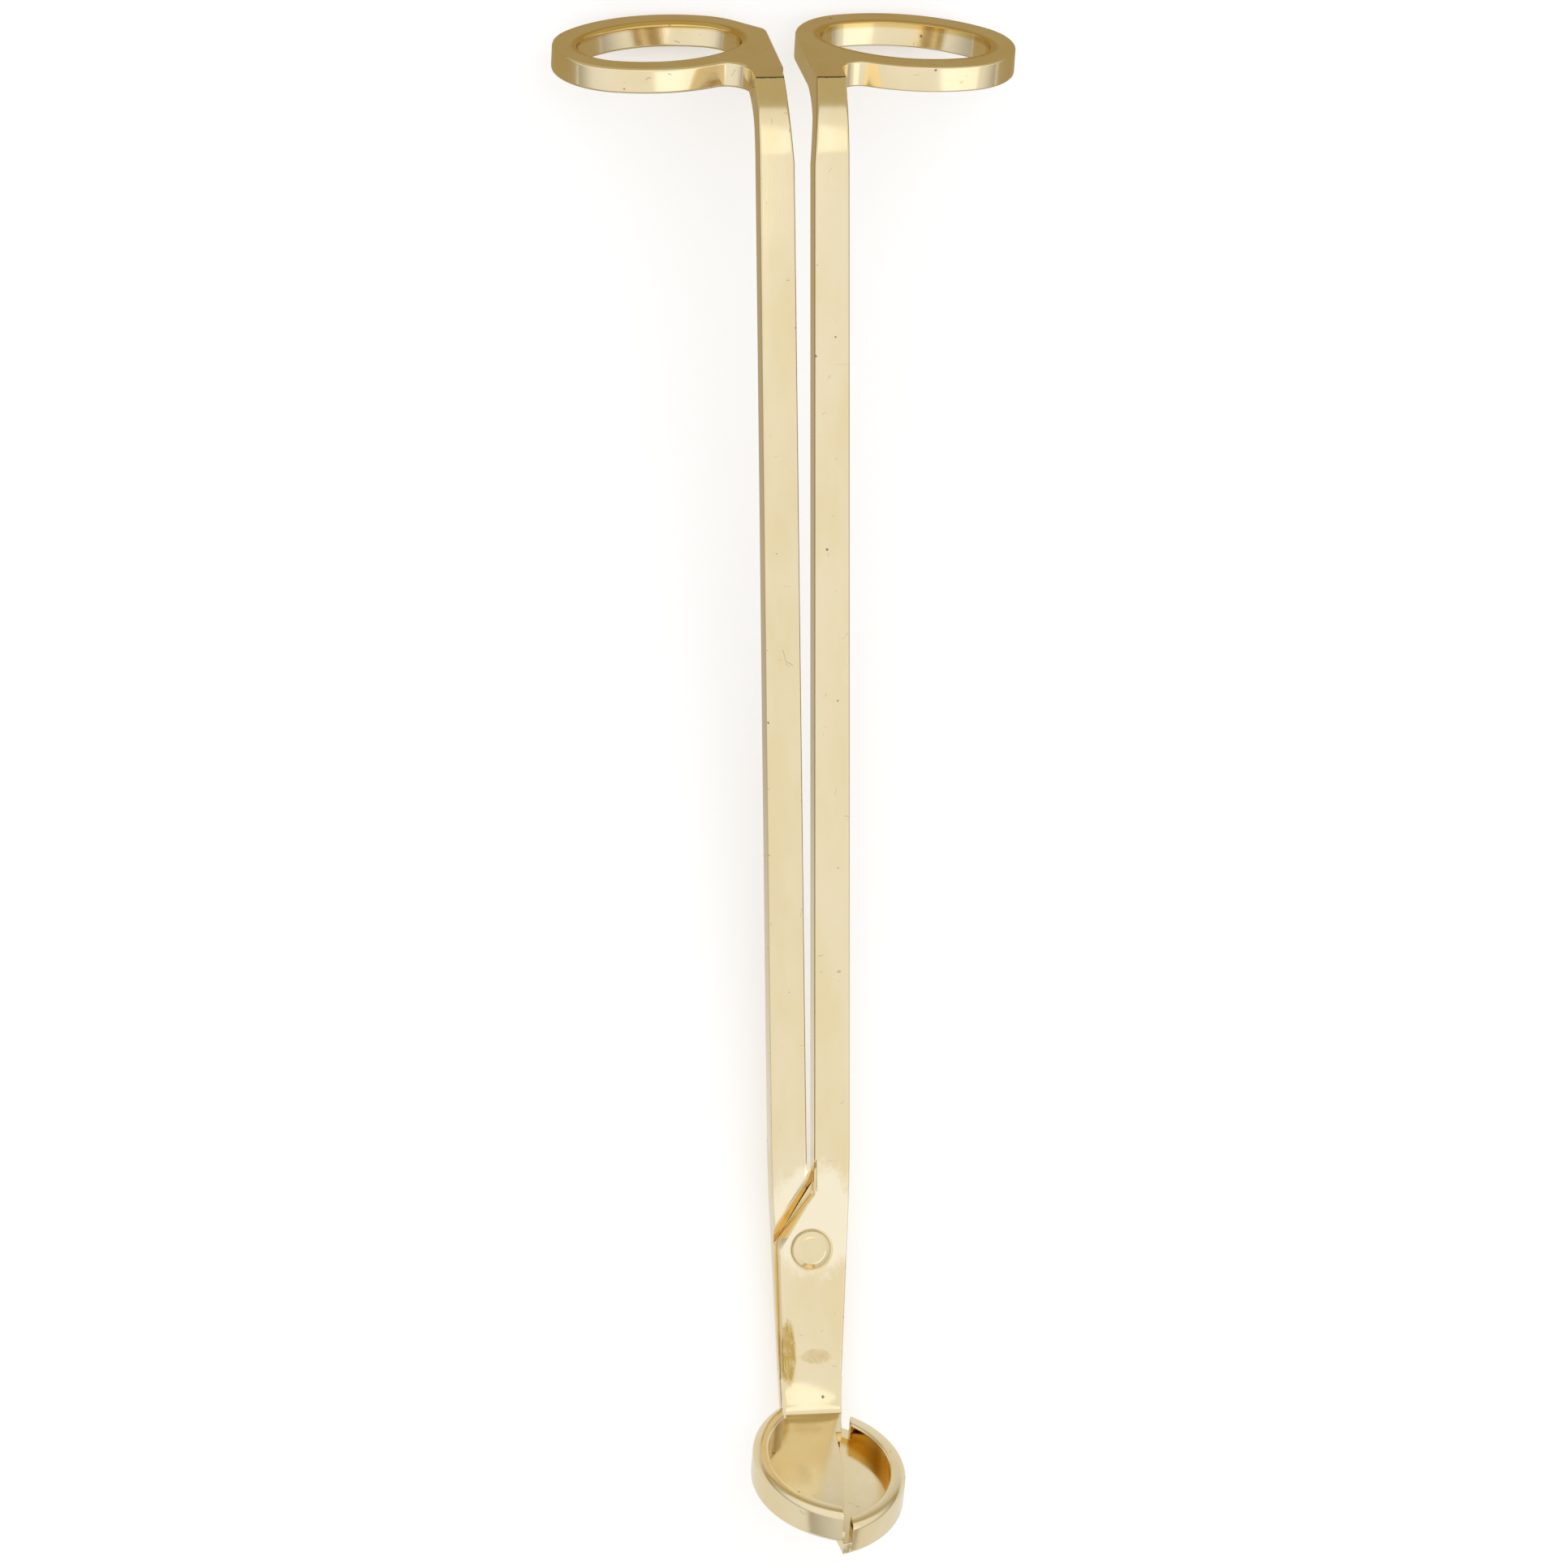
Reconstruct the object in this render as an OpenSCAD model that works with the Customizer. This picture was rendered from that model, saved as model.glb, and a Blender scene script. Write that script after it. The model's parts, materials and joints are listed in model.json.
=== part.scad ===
// Wick trimmer: two bent plate arms on one rivet, lying on its back with the front faces up.
// X runs across the tool, Y from the tray toward the finger rings, Z is up, z = 0 is the table.
// Each arm is drawn in the shank frame: pivot at x = y = 0, front face at z = 0.

/* [Shanks] */
// Pivot to the crease where each finger ring bends back
shank_l = 136.4; // [110:0.1:160]
// Width of each shank
shank_w = 4.2; // [3.9:0.1:5]
// Full thickness of the arms and rings
shank_t = 3.1; // [2.8:0.1:3.5]
// Half of the gap between the shanks beside the pivot
gap_pivot = 0.42; // [0.3:0.02:0.6]
// Half of the gap between the shanks below the rings
gap_ring = 1.15; // [0.8:0.05:1.5]
// Length of the shank top that curves back to the crease
top_l = 10; // [7:0.5:14]
// How far the crease lies behind the front face
top_drop = 2.2; // [1:0.1:3]

/* [Pivot] */
// Radius of each lap plate round the pivot
head_r = 3.85; // [3.7:0.05:4]
// Direction of the lap shoulder, seen from the pivot
shoulder_deg = 147.3; // [145:0.1:151]
// Clearance between lapped faces and shoulders
lap_gap = 0.1; // [0.06:0.01:0.14]
// Radius of the rivet shaft
rivet_r = 1.5; // [1.3:0.1:1.6]
// Radius of the domed rivet head
rivet_head_r = 2.42; // [2.2:0.02:2.5]
// Height of the rivet head above the front face
rivet_head_h = 0.55; // [0.45:0.05:0.8]

/* [Tray] */
// Pivot to the bend of the upper plate
neck_l = 18.8; // [17:0.1:21]
// Half of the neck width at the bend
neck_half_w = 3.4; // [3.2:0.1:3.6]
// Angle between the tray floor and the plane square to the shanks
tray_deg = 27; // [22:0.5:32]
// Bend to the tip of the leaf
leaf_l = 23; // [21:0.1:25]
// Half of the leaf width
leaf_half_w = 8.9; // [8.5:0.1:9.4]
// Thickness of the tray wall
wall_t = 1.8; // [1.4:0.1:2.2]
// Height of the tray wall above its floor
wall_h = 2.4; // [1.8:0.1:2.8]
// Clearance between the two blades, square to the tray
blade_gap = 0.34; // [0.32:0.01:0.42]

/* [Finger rings] */
// Angle between the ring plate and the plane square to the shanks
ring_deg = 20; // [10:1:25]
// Long half axis of the oval opening
oval_a = 9.95; // [9:0.05:11]
// Short half axis of the oval opening
oval_b = 6.15; // [5.8:0.05:7]
// Turn of the oval in the ring plate
oval_turn = 16; // [8:1:22]
// Middle of the opening from the middle plane of the tool
oval_x = 14.6; // [14:0.1:16]
// Middle of the opening behind the crease
oval_v = 12.4; // [11.5:0.1:13.5]
// Width of the rim round the opening
rim_w = 3; // [2.5:0.1:3.4]

/* [Hidden] */
$fn = 96;
big = 400;

// Lap plates and their shoulders
lap_t = (shank_t - lap_gap) / 2;
rear_face_z = -lap_t - lap_gap;
shoulder_r = head_r + lap_gap;
crotch_y = (head_r + gap_pivot * cos(shoulder_deg)) / sin(shoulder_deg);
neck_top_w = head_r + 0.5;

// Rivet, its holes, its seat in the front arm and its spread tail in the rear arm
hole_r = rivet_r + 0.05;
seat_r = rivet_head_r + 0.15;
seat_depth = 0.3;
tail_spread = 0.7;
dome_h = rivet_head_h - 0.15;
dome_r = (rivet_head_r * rivet_head_r + dome_h * dome_h) / (2 * dome_h);

// Tray: the lower floor hangs one plate and one clearance under the upper floor
lower_floor_h = -lap_t - blade_gap;
leaf_mid = leaf_l / 2;
leaf_r = (leaf_mid * leaf_mid + leaf_half_w * leaf_half_w) / (2 * leaf_half_w);
leaf_off = leaf_r - leaf_half_w;
notch_s = 4.9;
notch_l = 5.8;
notch_w = 0.5;

// Oval opening from four arcs, two round the ends and two along the sides
end_r = oval_b * 0.78;
end_c = oval_a - end_r;
side_r = (end_c * end_c + oval_b * oval_b - end_r * end_r) / (2 * (oval_b - end_r));
side_c = side_r - oval_b;
side_turn = atan(end_c / side_c);
ring_edge_x = gap_ring + 0.75;
ring_fillet = 2.6;
top_r = (top_l * top_l + top_drop * top_drop) / (2 * top_drop);
web_l = 7;

// Lying pose: the backs of the rings and the rounded lower bend touch the table
ring_back_v = oval_v + side_r + rim_w - side_c * cos(oval_turn);
ring_foot = ring_yz(ring_back_v, -shank_t);
bend_mid = [bend_y(rear_face_z, lower_floor_h), rear_face_z];
foot_run = ring_foot - bend_mid;
recline = atan(-foot_run[1] / foot_run[0]) - asin(lap_t / norm(foot_run));
pivot_z = lap_t - bend_mid[0] * sin(recline) - bend_mid[1] * cos(recline);
tip_y = row_y(tray_yz(leaf_l, lower_floor_h - lap_t));
back_y = row_y(ring_yz(ring_back_v, 0));
pivot_y = -(tip_y + back_y) / 2;

// Side view points [y, z] in the shank frame: along the tray floor, and along the ring plate
function tray_yz(s, h) = [
    -neck_l - s * sin(tray_deg) + h * cos(tray_deg),
    s * cos(tray_deg) + h * sin(tray_deg)
];
function ring_yz(v, h) = [
    shank_l + v * sin(ring_deg) + h * cos(ring_deg),
    -top_drop - v * cos(ring_deg) + h * sin(ring_deg)
];
// Where the blade edge lies, s along the tray floor
function blade_x(s) = neck_half_w * (1 - s / leaf_l);
// The line where a lap face meets its tray floor
function bend_s(face_z, floor_h) = (face_z - floor_h * sin(tray_deg)) / cos(tray_deg);
function bend_y(face_z, floor_h) = tray_yz(bend_s(face_z, floor_h), floor_h)[0];
// Y on the table of a side view point
function row_y(yz) = yz[0] * cos(recline) - yz[1] * sin(recline);
// A point of the curved shank top, u along from where the curve starts
function top_yz(u, depth) = [
    shank_l - top_l + u,
    sqrt(top_r * top_r - u * u) - top_r - depth
];
// A point of the curved web behind the crease, between a and c and pulled toward b
function web_yz(a, b, c, f) = (1 - f) * (1 - f) * a + 2 * f * (1 - f) * b + f * f * c;

// Lays a drawing of the shank frame down on the table
module place()
    translate([0, pivot_y, pivot_z])
    rotate([recline, 0, 0])
    children();

// Tray outlines: x across, y from the bend to the tip, z up from the upper floor
module on_tray()
    translate([0, -neck_l, 0])
    rotate([90 + tray_deg, 0, 0])
    mirror([0, 0, 1])
    children();

// Ring outlines: x across, y from the crease backward, z up from the top of the ring plate
module on_ring()
    translate([0, shank_l, -top_drop])
    rotate([ring_deg - 90, 0, 0])
    children();

module oval(grow) {
    intersection() {
        translate([0, -side_c]) circle(side_r + grow);
        translate([0, side_c]) circle(side_r + grow);
        square([2 * (side_r + grow) * sin(side_turn), big], center = true);
    }
    translate([-end_c, 0]) circle(end_r + grow);
    translate([end_c, 0]) circle(end_r + grow);
}

// Right shank from the pivot to the crease, seen from the front
module shank_outline() {
    polygon([
        [gap_pivot, 0],
        [gap_pivot + shank_w, 0],
        [gap_ring + shank_w, shank_l - top_l],
        [gap_ring + shank_w, shank_l + 5],
        [ring_edge_x, shank_l + 5],
        [ring_edge_x, shank_l],
        [gap_ring, shank_l - top_l]
    ]);
}

// The same shank from the side: flat, then curved back, with a web behind the crease
module shank_side() {
    web_top = top_yz(top_l - web_l, shank_t);
    web_foot = ring_yz(web_l, -shank_t);
    corner = ring_yz(0.5, -shank_t);
    polygon(concat(
        [[0, 0]],
        [for (i = [0:8]) top_yz(top_l * i / 8, 0)],
        [ring_yz(1.7, 0), ring_yz(web_l, -shank_t / 2)],
        [for (i = [8:-1:0]) web_yz(web_top, corner, web_foot, i / 8)],
        [for (i = [2:-1:0]) top_yz((top_l - web_l) * i / 3, shank_t)],
        [[0, -shank_t]]
    ));
}

// Everything beyond the lap shoulder that lies toward the right shank
module beyond_shoulder() {
    rotate(180 - shoulder_deg)
        translate([shoulder_r, -big / 2])
        square(big);
}

// Lap plate of the right arm: round head, diagonal edge up to the crotch, neck to the bend
module lap_outline() {
    circle(head_r);
    polygon([
        [-head_r, 0],
        [head_r * cos(shoulder_deg), head_r * sin(shoulder_deg)],
        [gap_pivot, crotch_y],
        [gap_pivot, crotch_y + 4],
        [gap_pivot + shank_w, crotch_y + 4],
        [neck_top_w, 0],
        [neck_half_w, -neck_l],
        [neck_half_w, -big],
        [-neck_half_w, -big],
        [-neck_half_w, -neck_l]
    ]);
}

module leaf(inset) {
    intersection() {
        translate([-leaf_off, leaf_mid]) circle(leaf_r - inset);
        translate([leaf_off, leaf_mid]) circle(leaf_r - inset);
    }
}

// Left half of the tray floor; its blade edge runs straight from the neck to the tip,
// with a tapering notch at the root of the blade
module floor_outline() {
    difference() {
        union() {
            intersection() {
                leaf(0);
                polygon([[-big, 0], [neck_half_w, 0], [0, leaf_l], [-big, leaf_l]]);
            }
            polygon([
                [-neck_half_w, -big],
                [neck_half_w, -big],
                [neck_half_w, 0],
                [0, leaf_l - 1],
                [-neck_half_w, leaf_mid]
            ]);
        }
        polygon([
            [blade_x(notch_s) - notch_w, notch_s],
            [blade_x(notch_s) + 1, notch_s],
            [blade_x(notch_s + notch_l) + 1, notch_s + notch_l],
            [blade_x(notch_s + notch_l) + 0.05, notch_s + notch_l]
        ]);
    }
}

// Wall round the left half, open beside the neck and beside the tip
module wall_outline(neck_clear, tip_clear) {
    difference() {
        leaf(0);
        leaf(wall_t);
        translate([-neck_half_w - neck_clear, -1]) square([big, leaf_mid]);
        translate([-tip_clear, 0]) square(big);
    }
}

module ring_outline() {
    difference() {
        union() {
            translate([oval_x, oval_v]) rotate(-oval_turn) oval(rim_w);
            polygon([
                [ring_edge_x, 1.4],
                [ring_edge_x + 0.3, 0.3],
                [gap_ring + shank_w - 0.3, 0.3],
                [gap_ring + shank_w, 1.4],
                [gap_ring + shank_w, ring_fillet],
                [gap_ring + shank_w + ring_fillet, 2 * ring_fillet],
                [oval_x, oval_v],
                [ring_edge_x, oval_v * 1.3]
            ]);
        }
        translate([oval_x, oval_v]) rotate(-oval_turn) oval(0);
        translate([gap_ring + shank_w + ring_fillet, ring_fillet]) circle(ring_fillet);
    }
}

// The plate from the side: along the lap, round the outside of the bend, along the tray floor
module plate_side(face_z, floor_h) {
    crease = tray_yz(bend_s(face_z, floor_h), floor_h);
    run = big * [-sin(tray_deg), cos(tray_deg)];
    polygon(concat(
        [[big, face_z], crease, crease + run],
        [crease + run - lap_t * [cos(tray_deg), sin(tray_deg)]],
        [for (i = [8:-1:0]) let (turn = (90 - tray_deg) * i / 8)
            crease - lap_t * [sin(turn), cos(turn)]],
        [[big, face_z - lap_t]]
    ));
}

// One plate with its bend: the side shape, cut to the lap outline and to the floor outline
module bent_plate(face_z, floor_h) {
    fold_y = bend_y(face_z, floor_h);
    intersection() {
        rotate([90, 0, 90]) linear_extrude(big, center = true) plate_side(face_z, floor_h);
        union() {
            translate([0, 0, -big / 2])
                linear_extrude(big)
                intersection() {
                    lap_outline();
                    translate([-big / 2, fold_y]) square(big);
                }
            translate([-neck_half_w, fold_y - 2 * lap_t, face_z - 2 * lap_t])
                cube([2 * neck_half_w, 2 * lap_t, 2 * lap_t]);
            on_tray()
                translate([0, 0, floor_h - 2 * lap_t])
                linear_extrude(4 * lap_t)
                intersection() {
                    floor_outline();
                    translate([-big / 2, bend_s(face_z, floor_h)]) square(big);
                }
        }
    }
}

// The arm whose handle is on the right and whose tray half is on the left
module right_arm(face_z, floor_h, neck_clear, tip_clear) {
    bent_plate(face_z, floor_h);
    on_tray()
        translate([0, 0, floor_h])
        linear_extrude(wall_h)
        wall_outline(neck_clear, tip_clear);
    intersection() {
        rotate([90, 0, 90]) linear_extrude(3 * shank_w) shank_side();
        translate([0, 0, -big / 2])
            linear_extrude(big)
            intersection() {
                shank_outline();
                beyond_shoulder();
            }
    }
    on_ring()
        translate([0, 0, -shank_t])
        linear_extrude(shank_t)
        ring_outline();
}

// Straight cut along the lap shoulder, its section drawn outward from the pivot
module along_shoulder(crotch_end)
    rotate([0, 0, shoulder_deg])
    translate([0, 4, 0])
    rotate([90, 0, 0])
    linear_extrude(4 + crotch_end)
    children();

module front_arm() color([0.83, 0.72, 0.5]) place() difference() {
    right_arm(0, 0, 0.2, 0.3);
    translate([0, 0, -big / 2]) cylinder(r = hole_r, h = big);
    translate([0, 0, -seat_depth]) cylinder(r = seat_r, h = big);
    along_shoulder(6.4)
        polygon([
            [head_r - 0.75, 0],
            [head_r, -0.8],
            [head_r + 1, -0.8],
            [head_r + 1, 1],
            [head_r - 0.75, 1]
        ]);
}

module rear_arm() color([0.8, 0.69, 0.46]) place() difference() {
    mirror([1, 0, 0]) right_arm(rear_face_z, lower_floor_h, 0.5, 1);
    translate([0, 0, -big / 2]) cylinder(r = hole_r, h = big);
    translate([0, 0, -shank_t]) cylinder(r1 = hole_r + tail_spread, r2 = hole_r, h = tail_spread);
    along_shoulder(5.6)
        polygon([
            [shoulder_r - 1, -1],
            [shoulder_r, -1],
            [shoulder_r + 1, 0],
            [shoulder_r + 1, 1],
            [shoulder_r - 1, 1]
        ]);
}

module rivet() color([0.86, 0.76, 0.52]) place() {
    intersection() {
        translate([0, 0, -seat_depth + 0.05]) cylinder(r = rivet_head_r, h = 3);
        translate([0, 0, rivet_head_h - dome_r]) sphere(dome_r);
    }
    translate([0, 0, -shank_t]) cylinder(r = rivet_r, h = shank_t);
    translate([0, 0, -shank_t]) cylinder(r1 = rivet_r + tail_spread, r2 = rivet_r, h = tail_spread);
}

front_arm();
rear_arm();
rivet();
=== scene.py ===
# %% [markdown]
# # Wick trimmer
# A wick trimmer is a long pair of tongs with a small leaf-shaped tray at one end. Two arms are cut
# from metal bar, bent, riveted and plated in polished gold. Each arm has an oval finger ring, a
# long square shank, a thin lap plate at the rivet and one half of the tray. The tray halves are
# the blades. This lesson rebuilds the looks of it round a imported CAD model. The first step is to
# load that model.

# %% Load the frame
import bpy
import bmesh
import json
import math
from mathutils import Matrix, Vector


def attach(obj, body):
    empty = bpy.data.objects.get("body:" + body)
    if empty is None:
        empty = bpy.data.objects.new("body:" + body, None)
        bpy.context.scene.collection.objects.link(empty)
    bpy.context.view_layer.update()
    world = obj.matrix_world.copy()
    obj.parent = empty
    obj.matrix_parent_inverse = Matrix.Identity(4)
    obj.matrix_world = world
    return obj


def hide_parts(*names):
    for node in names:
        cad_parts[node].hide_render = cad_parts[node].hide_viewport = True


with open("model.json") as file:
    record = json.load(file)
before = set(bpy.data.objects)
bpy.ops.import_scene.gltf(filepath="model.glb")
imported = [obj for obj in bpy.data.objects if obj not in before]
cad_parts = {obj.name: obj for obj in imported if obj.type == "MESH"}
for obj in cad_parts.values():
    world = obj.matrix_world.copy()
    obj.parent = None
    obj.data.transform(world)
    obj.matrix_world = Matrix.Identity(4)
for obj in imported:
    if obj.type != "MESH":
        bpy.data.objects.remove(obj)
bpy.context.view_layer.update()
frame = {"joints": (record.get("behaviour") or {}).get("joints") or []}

# %% [markdown]
# ## One frame for drawing
# The tool lies on its back, tipped a little, so it is awkward to draw where it lies. Both arms are
# drawn flat instead, in millimetres, with the rivet at the origin and the front faces at z = 0,
# and each finished mesh is laid down with one matrix. The matrix comes from the joint of the
# frame: its place is the rivet and its axis is square to the front faces.

# %% The laying-down matrix
PER_METRE = 1000  # millimetres in a metre
joint = frame["joints"][0]
front_normal = -Vector(joint["axis"]).normalized()
recline = math.atan2(-front_normal.y, front_normal.z)
lay_down = (
    Matrix.Translation(joint["pos_m"])
    @ Matrix.Rotation(recline, 4, "X")
    @ Matrix.Scale(1 / PER_METRE, 4)
)
print("recline, degrees:", round(math.degrees(recline), 3))

# %% [markdown]
# ## Sizes
# A lesson keeps its sizes in one place, under the names that a maker would use. They are the sizes
# of the CAD model in millimetres and degrees, so the new pieces fit the old ones with nothing to
# adjust.

# %% Sizes of the arms
SHANK_LONG, SHANK_WIDE, SHANK_THICK = 136.4, 4.2, 3.1
GAP_PIVOT, GAP_RING = 0.42, 1.15  # half of the gap between the shanks, at both ends
TOP_LONG, TOP_DROP = 10.0, 2.2  # the curved top of the shank
HEAD_R, SHOULDER, LAP_GAP = 3.85, 147.3, 0.1
LAP_THICK = (SHANK_THICK - LAP_GAP) / 2
SHOULDER_R = HEAD_R + LAP_GAP
NECK_LONG, NECK_HALF = 18.8, 3.4
TRAY_LEAN, LEAF_LONG, LEAF_HALF = 27.0, 23.0, 8.9
WALL_THICK, WALL_HIGH, BLADE_GAP = 1.8, 2.4, 0.34
RING_LEAN, OVAL_TURN = 20.0, 16.0
OVAL_LONG, OVAL_SHORT, OVAL_X, OVAL_V, RIM = 9.95, 6.15, 14.6, 12.4, 3.0
RIVET_R, RIVET_HEAD_R, RIVET_HEAD_HIGH = 1.5, 2.42, 0.55
HOLE_R, SINK_DEEP = RIVET_R + 0.05, 0.7
SOFT = 0.32  # radius of the tumbled edges
NEAR = 0.01  # two heights this close count as one
TOP_Y = SHANK_LONG - TOP_LONG
RING_EDGE = GAP_RING + 0.75  # inner side of the shank at the crease
RING_SIDE = GAP_RING + SHANK_WIDE  # outer side of it
LEAF_MID = LEAF_LONG / 2
LEAF_R = (LEAF_MID ** 2 + LEAF_HALF ** 2) / (2 * LEAF_HALF)
LEAF_OFF = LEAF_R - LEAF_HALF
WALL_R = LEAF_R - WALL_THICK
shoulder = math.radians(SHOULDER)
CROTCH_Y = (HEAD_R + GAP_PIVOT * math.cos(shoulder)) / math.sin(shoulder)
print("lap plate, mm:", LAP_THICK, " leaf radius:", round(LEAF_R, 3))

# %% [markdown]
# ## The camera
# The camera comes early, because every later choice is judged through it. It looks almost straight
# down on the tool from a little to its left, from far away and with a long lens, so the two arms
# stay nearly parallel.

# %% The camera
def new_object(name, data):
    thing = bpy.data.objects.new(name, data)
    bpy.context.scene.collection.objects.link(thing)
    return thing


def make_camera(yaw, tilt, roll, distance, lens, aside, along):
    direction = Vector((
        -math.sin(yaw) * math.cos(tilt),
        math.sin(tilt),
        math.cos(yaw) * math.cos(tilt),
    ))
    right = Vector((math.cos(yaw), 0, math.sin(yaw)))
    up = direction.cross(right)
    turned_right = math.cos(roll) * right + math.sin(roll) * up
    turned_up = -math.sin(roll) * right + math.cos(roll) * up
    place = distance * direction + aside * turned_right + along * turned_up
    axes = Matrix((turned_right, turned_up, direction)).transposed().to_4x4()
    world = lay_down @ Matrix.Translation(place) @ axes
    camera = new_object("camera", bpy.data.cameras.new("camera"))
    camera.matrix_world = Matrix.LocRotScale(world.to_translation(), world.to_quaternion(), None)
    camera.data.lens = lens
    camera.data.sensor_width = 36
    camera.data.clip_start, camera.data.clip_end = 0.05, 10
    bpy.context.scene.camera = camera
    return camera


camera = make_camera(
    yaw=math.radians(10.15), tilt=math.radians(5.97), roll=math.radians(-0.364),
    distance=800, lens=157.1, aside=-3.2, along=54.45,
)
print("camera stands at", [round(value, 3) for value in camera.location])

# %% [markdown]
# ## Drawing with operators
# Every sheet of metal here starts as an outline. A vertex is extruded to draw straight lines, and
# spun round a centre to draw an arc. The finished outline is filled, extruded into a slab, and its
# rims are bevelled, because tumbling and plating leave no sharp edge on the real tool. Small
# helpers name the edges to bevel: by the height of their middle, or because both ends are level.

# %% Outline helpers
def only_verts(items):
    return [item for item in items if isinstance(item, bmesh.types.BMVert)]


def everything(bm):
    return bm.verts[:] + bm.edges[:] + bm.faces[:]


def shift(bm, x, y, z):
    bmesh.ops.translate(bm, verts=bm.verts[:], vec=(x, y, z))


def start_outline(bm, x, y):
    return bmesh.ops.create_vert(bm, co=(x, y, 0))["vert"][0]


def line_through(bm, tip, *spots):
    for x, y in spots:
        tip = bmesh.ops.extrude_vert_indiv(bm, verts=[tip])["verts"][0]
        tip.co = (x, y, 0)
    return tip


def arc_about(bm, tip, centre, degrees, step):
    steps = max(2, round(abs(degrees) / step))
    made = bmesh.ops.spin(
        bm, geom=[tip], cent=(centre[0], centre[1], 0), axis=(0, 0, 1),
        angle=math.radians(degrees), steps=steps, use_duplicate=False,
    )
    return only_verts(made["geom_last"])[0]


# %% From outline to slab
def fill_slab(bm, low, high):
    bmesh.ops.remove_doubles(bm, verts=bm.verts[:], dist=0.002)
    bmesh.ops.triangle_fill(bm, edges=bm.edges[:], use_beauty=True, use_dissolve=False)
    bmesh.ops.dissolve_limit(bm, angle_limit=0.01, verts=bm.verts[:], edges=bm.edges[:])
    shift(bm, 0, 0, low)
    top = bmesh.ops.extrude_face_region(bm, geom=bm.faces[:])["geom"]
    bmesh.ops.translate(bm, verts=only_verts(top), vec=(0, 0, high - low))
    bmesh.ops.recalc_face_normals(bm, faces=bm.faces[:])
    return bm


def slice_at(bm, place, normal, **more):
    return bmesh.ops.bisect_plane(
        bm, geom=everything(bm), dist=0.0001, plane_co=place, plane_no=normal, **more,
    )


# %% Softening edges
def middle(edge):
    return (edge.verts[0].co + edge.verts[1].co) / 2


def is_at(edge, height):
    return abs(middle(edge).z - height) < NEAR


def is_level(edge):
    return abs(edge.verts[0].co.z - edge.verts[1].co.z) < NEAR


def soften(bm, width, segments=3, wanted=None, degrees=35):
    rims = [
        edge for edge in bm.edges
        if len(edge.link_faces) == 2
        and edge.is_convex
        and edge.calc_face_angle() > math.radians(degrees)
        and (wanted is None or wanted(edge))
    ]
    bmesh.ops.bevel(
        bm, geom=rims, offset=width, offset_type="OFFSET", affect="EDGES",
        segments=segments, profile=0.5, material=-1, clamp_overlap=True,
    )
    return bm


# %% [markdown]
# ## Joining shells
# The parts of one arm are one piece of metal, so their shells are united with a Boolean. Of
# Blender's solvers, the manifold one is chosen, because closed shells stay closed in it. The
# helper also carves: a recess, a hole or a groove is a shell that is taken away.

# %% The Boolean helper
def as_object(bm, name):
    mesh = bpy.data.meshes.new(name)
    bm.to_mesh(mesh)
    return new_object(name, mesh)


def open_edges(bm):
    return sum(1 for edge in bm.edges if len(edge.link_faces) != 2)


def combine(bm, others, how):
    base = as_object(bm, "base")
    tools = [as_object(other, "tool") for other in others]
    for tool in tools:
        step = base.modifiers.new("step", "BOOLEAN")
        step.operation, step.solver, step.object = how, "MANIFOLD", tool
    bpy.context.view_layer.update()
    ready = base.evaluated_get(bpy.context.evaluated_depsgraph_get())
    result = bpy.data.meshes.new_from_object(ready)
    bm.clear()
    bm.from_mesh(result)
    print("  ", how.lower(), "of", len(others), "gives", open_edges(bm), "open edges")
    for thing in [base, *tools]:
        mesh = thing.data
        bpy.data.objects.remove(thing)
        bpy.data.meshes.remove(mesh)
    bpy.data.meshes.remove(result)
    for other in others:
        other.free()
    return bm


# %% [markdown]
# ## The three drawing planes
# The tray floor and the finger ring are flat sheets too, but they stand at an angle to the shank.
# Each is drawn flat and turned into place with its own matrix. In a side view the tray floor leans
# 27 degrees and the ring 20 degrees from square. A third matrix turns a side view into place: its
# outline is drawn along and up, and the slab is extruded across the tool.

# %% Matrices of the tray floor and of the ring
def turned(degrees, axis):
    return Matrix.Rotation(math.radians(degrees), 4, axis)


stand = turned(90, "X")
across = turned(90, "Z") @ stand
on_tray = (
    Matrix.Translation((0, -NECK_LONG, 0))
    @ turned(90 + TRAY_LEAN, "X")
    @ Matrix.Scale(-1, 4, (0, 0, 1))
)
on_ring = Matrix.Translation((0, SHANK_LONG, -TOP_DROP)) @ turned(RING_LEAN - 90, "X")


def turn_into(bm, matrix):
    bmesh.ops.transform(bm, matrix=matrix, verts=bm.verts[:])
    bmesh.ops.recalc_face_normals(bm, faces=bm.faces[:])
    return bm


def tray_point(s, h):
    spot = on_tray @ Vector((0, s, h))
    return spot.y, spot.z


def ring_point(v, h):
    spot = on_ring @ Vector((0, v, h))
    return spot.y, spot.z


print("tray tip, mm:", [round(value, 2) for value in tray_point(LEAF_LONG, 0)])

# %% [markdown]
# ## The bar: lap plate and shank
# Seen from the front, the lap plate and the shank are one outline: up one side of the neck, along
# the outside of the shank, over the top, down the inside to the crotch and round the head of the
# lap. It is drawn once, given the full thickness and softened, and only then is the half of the
# lap that belongs to the other arm cut away, so its cut edges stay crisp where the plates slide.

# %% The bar of an arm
TOP_R = (TOP_LONG ** 2 + TOP_DROP ** 2) / (2 * TOP_DROP)
SPARE = 3  # extra bar beyond the crease, cut off on the plane of the ring


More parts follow.
